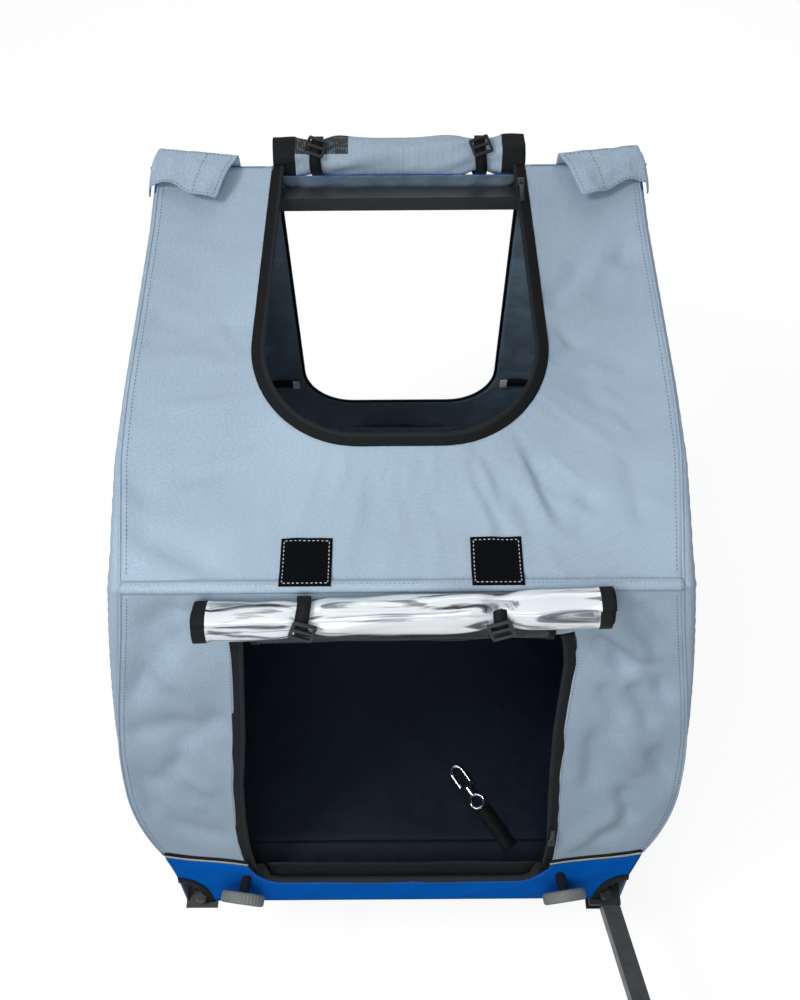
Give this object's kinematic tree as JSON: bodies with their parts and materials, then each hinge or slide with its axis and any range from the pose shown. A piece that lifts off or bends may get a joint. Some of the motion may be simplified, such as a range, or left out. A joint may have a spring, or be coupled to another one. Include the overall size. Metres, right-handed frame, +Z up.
{
  "type": "dog bike trailer",
  "caption": "Folding dog trailer for a bicycle: fabric cabin with front door and roof window on a tube frame, quick-release wheels and a swinging tow bar.",
  "frame": {"origin": "centre of the footprint on the ground, at the bottom of the wheels", "axes": "+Z up, +Y towards the rear along the length, +X towards the trailer's left side"},
  "size_m": [0.7806, 1.2712, 0.8377],
  "materials": {
    "black_tube": "satin powder coat",
    "tow_tube": "satin powder coat",
    "black_bracket": "satin powder coat",
    "bright_bolt": "polished plating",
    "steel": "bright zinc",
    "alloy": "brushed",
    "hub_plastic": "moulded",
    "board": "smooth",
    "mat_cloth": "coated cloth",
    "grey_cloth": "coated cloth",
    "blue_cloth": "coated cloth",
    "zip_tape": "woven tape",
    "webbing": "woven webbing",
    "lining_cloth": "coated cloth",
    "hook_tape": "hook and loop",
    "silver_tape": "reflective tape",
    "clear_film": "clear film, rolled",
    "black_mesh": "open mesh",
    "black_plastic": "moulded",
    "grey_rubber": "moulded",
    "black_rubber": "moulded",
    "tyre_rubber": "moulded tread"
  },
  "bodies": {
    "base": {"base_rails": "black_tube", "cross_tubes": "black_tube", "floor_board": "board", "floor_mat": "mat_cloth", "axle_receivers": "alloy", "tow_bracket": "black_bracket", "spare_tow_plate": "black_bracket", "tow_bolts": "bright_bolt", "hoop_hinges": "black_bracket", "hinge_pins": "steel", "front_panel": "grey_cloth", "front_sill": "blue_cloth", "roof_panel": "grey_cloth", "rear_panel": "blue_cloth", "left_side_panel": "blue_cloth", "right_side_panel": "blue_cloth", "door_zip_tape": "zip_tape", "roof_zip_tape": "zip_tape", "shoulder_flaps": "grey_cloth", "loop_patches": "hook_tape", "sill_piping": "silver_tape", "inner_straps": "webbing", "rear_pocket": "lining_cloth", "window_roll": "clear_film", "mesh_roll": "black_mesh", "roof_roll": "grey_cloth", "roll_ties": "webbing", "tie_toggles": "black_plastic", "front_bumpers": "grey_rubber", "tether_strap": "webbing"},
    "left_axle_set": {"left_axle": "steel"},
    "left_wheel": {"left_hub": "hub_plastic", "left_bearings": "steel", "left_spokes": "steel", "left_rim": "alloy", "left_tyre": "tyre_rubber"},
    "left_button": {"left_axle_button": "black_plastic"},
    "right_axle_set": {"right_axle": "steel"},
    "right_wheel": {"right_hub": "hub_plastic", "right_bearings": "steel", "right_spokes": "steel", "right_rim": "alloy", "right_tyre": "tyre_rubber"},
    "right_button": {"right_axle_button": "black_plastic"},
    "rear_hoop": {"rear_posts": "black_tube", "rear_crossbar": "black_tube"},
    "front_hoop": {"front_posts": "black_tube", "front_crossbar": "black_tube"},
    "tow_arm": {"tow_bar": "tow_tube", "coupler_block": "black_rubber", "coupler_fork": "steel"},
    "hitch": {"hitch_plate": "steel"},
    "pin": {"hitch_pin": "steel"},
    "left_knob": {"left_lock_knob": "black_plastic"},
    "right_knob": {"right_lock_knob": "black_plastic"},
    "tether_hook": {"tether_eye": "bright_bolt", "snap_hook": "bright_bolt"},
    "gate": {"snap_gate": "bright_bolt"},
    "roof_slider": {"roof_zip_slider": "black_plastic"},
    "door_slider": {"door_zip_slider": "black_plastic"}
  },
  "joints": [
    {"name": "rear_hoop_fold", "type": "hinge", "parent": "base", "child": "rear_hoop", "pos_m": [0, 0.56935, 0.282], "axis": [1, 0, 0], "range_deg": [0, 90]},
    {"name": "front_hoop_fold", "type": "hinge", "parent": "base", "child": "front_hoop", "pos_m": [0, -0.03765, 0.26], "axis": [1, 0, 0], "range_deg": [-69, 0]},
    {"name": "left_wheel_release", "type": "slide", "parent": "base", "child": "left_axle_set", "axis": [1, 0, 0], "range_m": [0, 0.08]},
    {"name": "left_wheel_spin", "type": "hinge", "parent": "left_axle_set", "child": "left_wheel", "pos_m": [0.347, 0.31835, 0.2], "axis": [1, 0, 0], "continuous": true},
    {"name": "left_button_press", "type": "slide", "parent": "left_axle_set", "child": "left_button", "axis": [-1, 0, 0], "range_m": [0, 0.003], "stiffness_N_per_m": 400},
    {"name": "right_wheel_release", "type": "slide", "parent": "base", "child": "right_axle_set", "axis": [-1, 0, 0], "range_m": [0, 0.08]},
    {"name": "right_wheel_spin", "type": "hinge", "parent": "right_axle_set", "child": "right_wheel", "pos_m": [-0.347, 0.31835, 0.2], "axis": [1, 0, 0], "continuous": true},
    {"name": "right_button_press", "type": "slide", "parent": "right_axle_set", "child": "right_button", "axis": [1, 0, 0], "range_m": [0, 0.003], "stiffness_N_per_m": 400},
    {"name": "tow_bar_swing", "type": "hinge", "parent": "base", "child": "tow_arm", "pos_m": [0.256, -0.05165, 0.2017], "axis": [0, 0, 1], "range_deg": [-165, 0]},
    {"name": "hitch_yaw", "type": "hinge", "parent": "tow_arm", "child": "hitch", "pos_m": [0.22585, -0.58565, 0.2017], "axis": [0, 0, 1], "range_deg": [-100, 45]},
    {"name": "hitch_pin_pull", "type": "slide", "parent": "tow_arm", "child": "pin", "axis": [0, 0, -1], "range_m": [0, 0.03]},
    {"name": "left_knob_turn", "type": "hinge", "parent": "base", "child": "left_knob", "pos_m": [0.256, -0.07865, 0.216], "axis": [0, 0, 1], "range_deg": [0, 360]},
    {"name": "right_knob_turn", "type": "hinge", "parent": "base", "child": "right_knob", "pos_m": [-0.256, -0.07865, 0.216], "axis": [0, 0, 1], "range_deg": [0, 360]},
    {"name": "tether_lift", "type": "hinge", "parent": "base", "child": "tether_hook", "pos_m": [0.10214, 0.02338, 0.2528], "axis": [0.8358, 0.549, 0], "range_deg": [0, 90]},
    {"name": "gate_open", "type": "hinge", "parent": "tether_hook", "child": "gate", "pos_m": [0.08868, 0.05845, 0.2528], "axis": [0, 0, 1], "range_deg": [0, 35], "stiffness_Nm_per_rad": 0.05},
    {"name": "roof_zip_run", "type": "slide", "parent": "base", "child": "roof_slider", "axis": [0.047, -0.9745, -0.2193], "range_m": [0, 0.17]},
    {"name": "door_zip_run", "type": "slide", "parent": "base", "child": "door_slider", "axis": [0, 0.3599, 0.933], "range_m": [0, 0.3]}
  ],
  "couplings": [
    {"joint": "front_hoop_fold", "follows": "rear_hoop_fold", "ratio": -0.76556}
  ]
}
